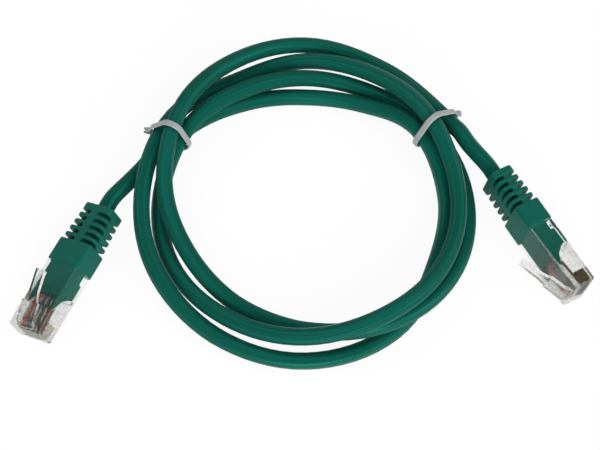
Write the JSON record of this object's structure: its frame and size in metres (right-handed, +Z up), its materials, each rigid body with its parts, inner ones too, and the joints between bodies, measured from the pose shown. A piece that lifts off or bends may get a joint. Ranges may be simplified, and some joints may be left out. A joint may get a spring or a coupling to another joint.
{
  "type": "ethernet patch cable",
  "caption": "Green coiled network patch cable held by two twist ties, with a clear latched modular plug and a ribbed strain-relief boot at each end",
  "frame": {"origin": "on the table below the middle of the box round the two plugs: the lowest, middle point between them, as the coil, leads and ties are a free cord and don't count", "axes": "+X from the left plug to the right plug, +Y away from the plugs across the coil, +Z up from the table that the cable lies on"},
  "size_m": [0.17, 0.1105, 0.0178],
  "materials": {
    "cable_pvc": "smooth green PVC jacket with a soft satin shine",
    "boot_pvc": "moulded green PVC, slightly satin",
    "clear_plastic": "clear polycarbonate, glossy",
    "gold_plate": "thin gold plating on bronze",
    "tie_plastic": "light grey translucent plastic ribbon",
    "tie_steel": "plain drawn wire",
    "wire_1": "smooth white and orange insulation",
    "wire_2": "smooth orange insulation",
    "wire_3": "smooth white and green insulation",
    "wire_4": "smooth blue insulation",
    "wire_5": "smooth white and blue insulation",
    "wire_6": "smooth green insulation",
    "wire_7": "smooth white and brown insulation",
    "wire_8": "smooth brown insulation"
  },
  "bodies": {
    "cable": {"cable_coil": "cable_pvc", "lead_left": "cable_pvc", "lead_right": "cable_pvc", "tie_left": "tie_plastic", "tie_left_core": "tie_steel", "tie_right": "tie_plastic", "tie_right_core": "tie_steel", "plug_a_housing": "clear_plastic", "plug_a_contacts": "gold_plate", "plug_a_boot": "boot_pvc", "plug_a_jacket": "cable_pvc", "plug_a_wire_1": "wire_1", "plug_a_wire_2": "wire_2", "plug_a_wire_3": "wire_3", "plug_a_wire_4": "wire_4", "plug_a_wire_5": "wire_5", "plug_a_wire_6": "wire_6", "plug_a_wire_7": "wire_7", "plug_a_wire_8": "wire_8", "plug_b_housing": "clear_plastic", "plug_b_contacts": "gold_plate", "plug_b_boot": "boot_pvc", "plug_b_jacket": "cable_pvc", "plug_b_wire_1": "wire_1", "plug_b_wire_2": "wire_2", "plug_b_wire_3": "wire_3", "plug_b_wire_4": "wire_4", "plug_b_wire_5": "wire_5", "plug_b_wire_6": "wire_6", "plug_b_wire_7": "wire_7", "plug_b_wire_8": "wire_8"},
    "latch_a": {"plug_a_latch": "clear_plastic"},
    "latch_b": {"plug_b_latch": "clear_plastic"}
  },
  "joints": [
    {"name": "latch_a_press", "type": "hinge", "parent": "cable", "child": "latch_a", "pos_m": [-0.07972, -0.02331, 0.0087], "axis": [-0.8238, 0.4107, -0.3907], "range_deg": [0, 15], "stiffness_Nm_per_rad": 0.06},
    {"name": "latch_b_press", "type": "hinge", "parent": "cable", "child": "latch_b", "pos_m": [0.0781, -0.01279, 0.0072], "axis": [-0.1578, -0.0911, -0.9833], "range_deg": [0, 15], "stiffness_Nm_per_rad": 0.06}
  ]
}
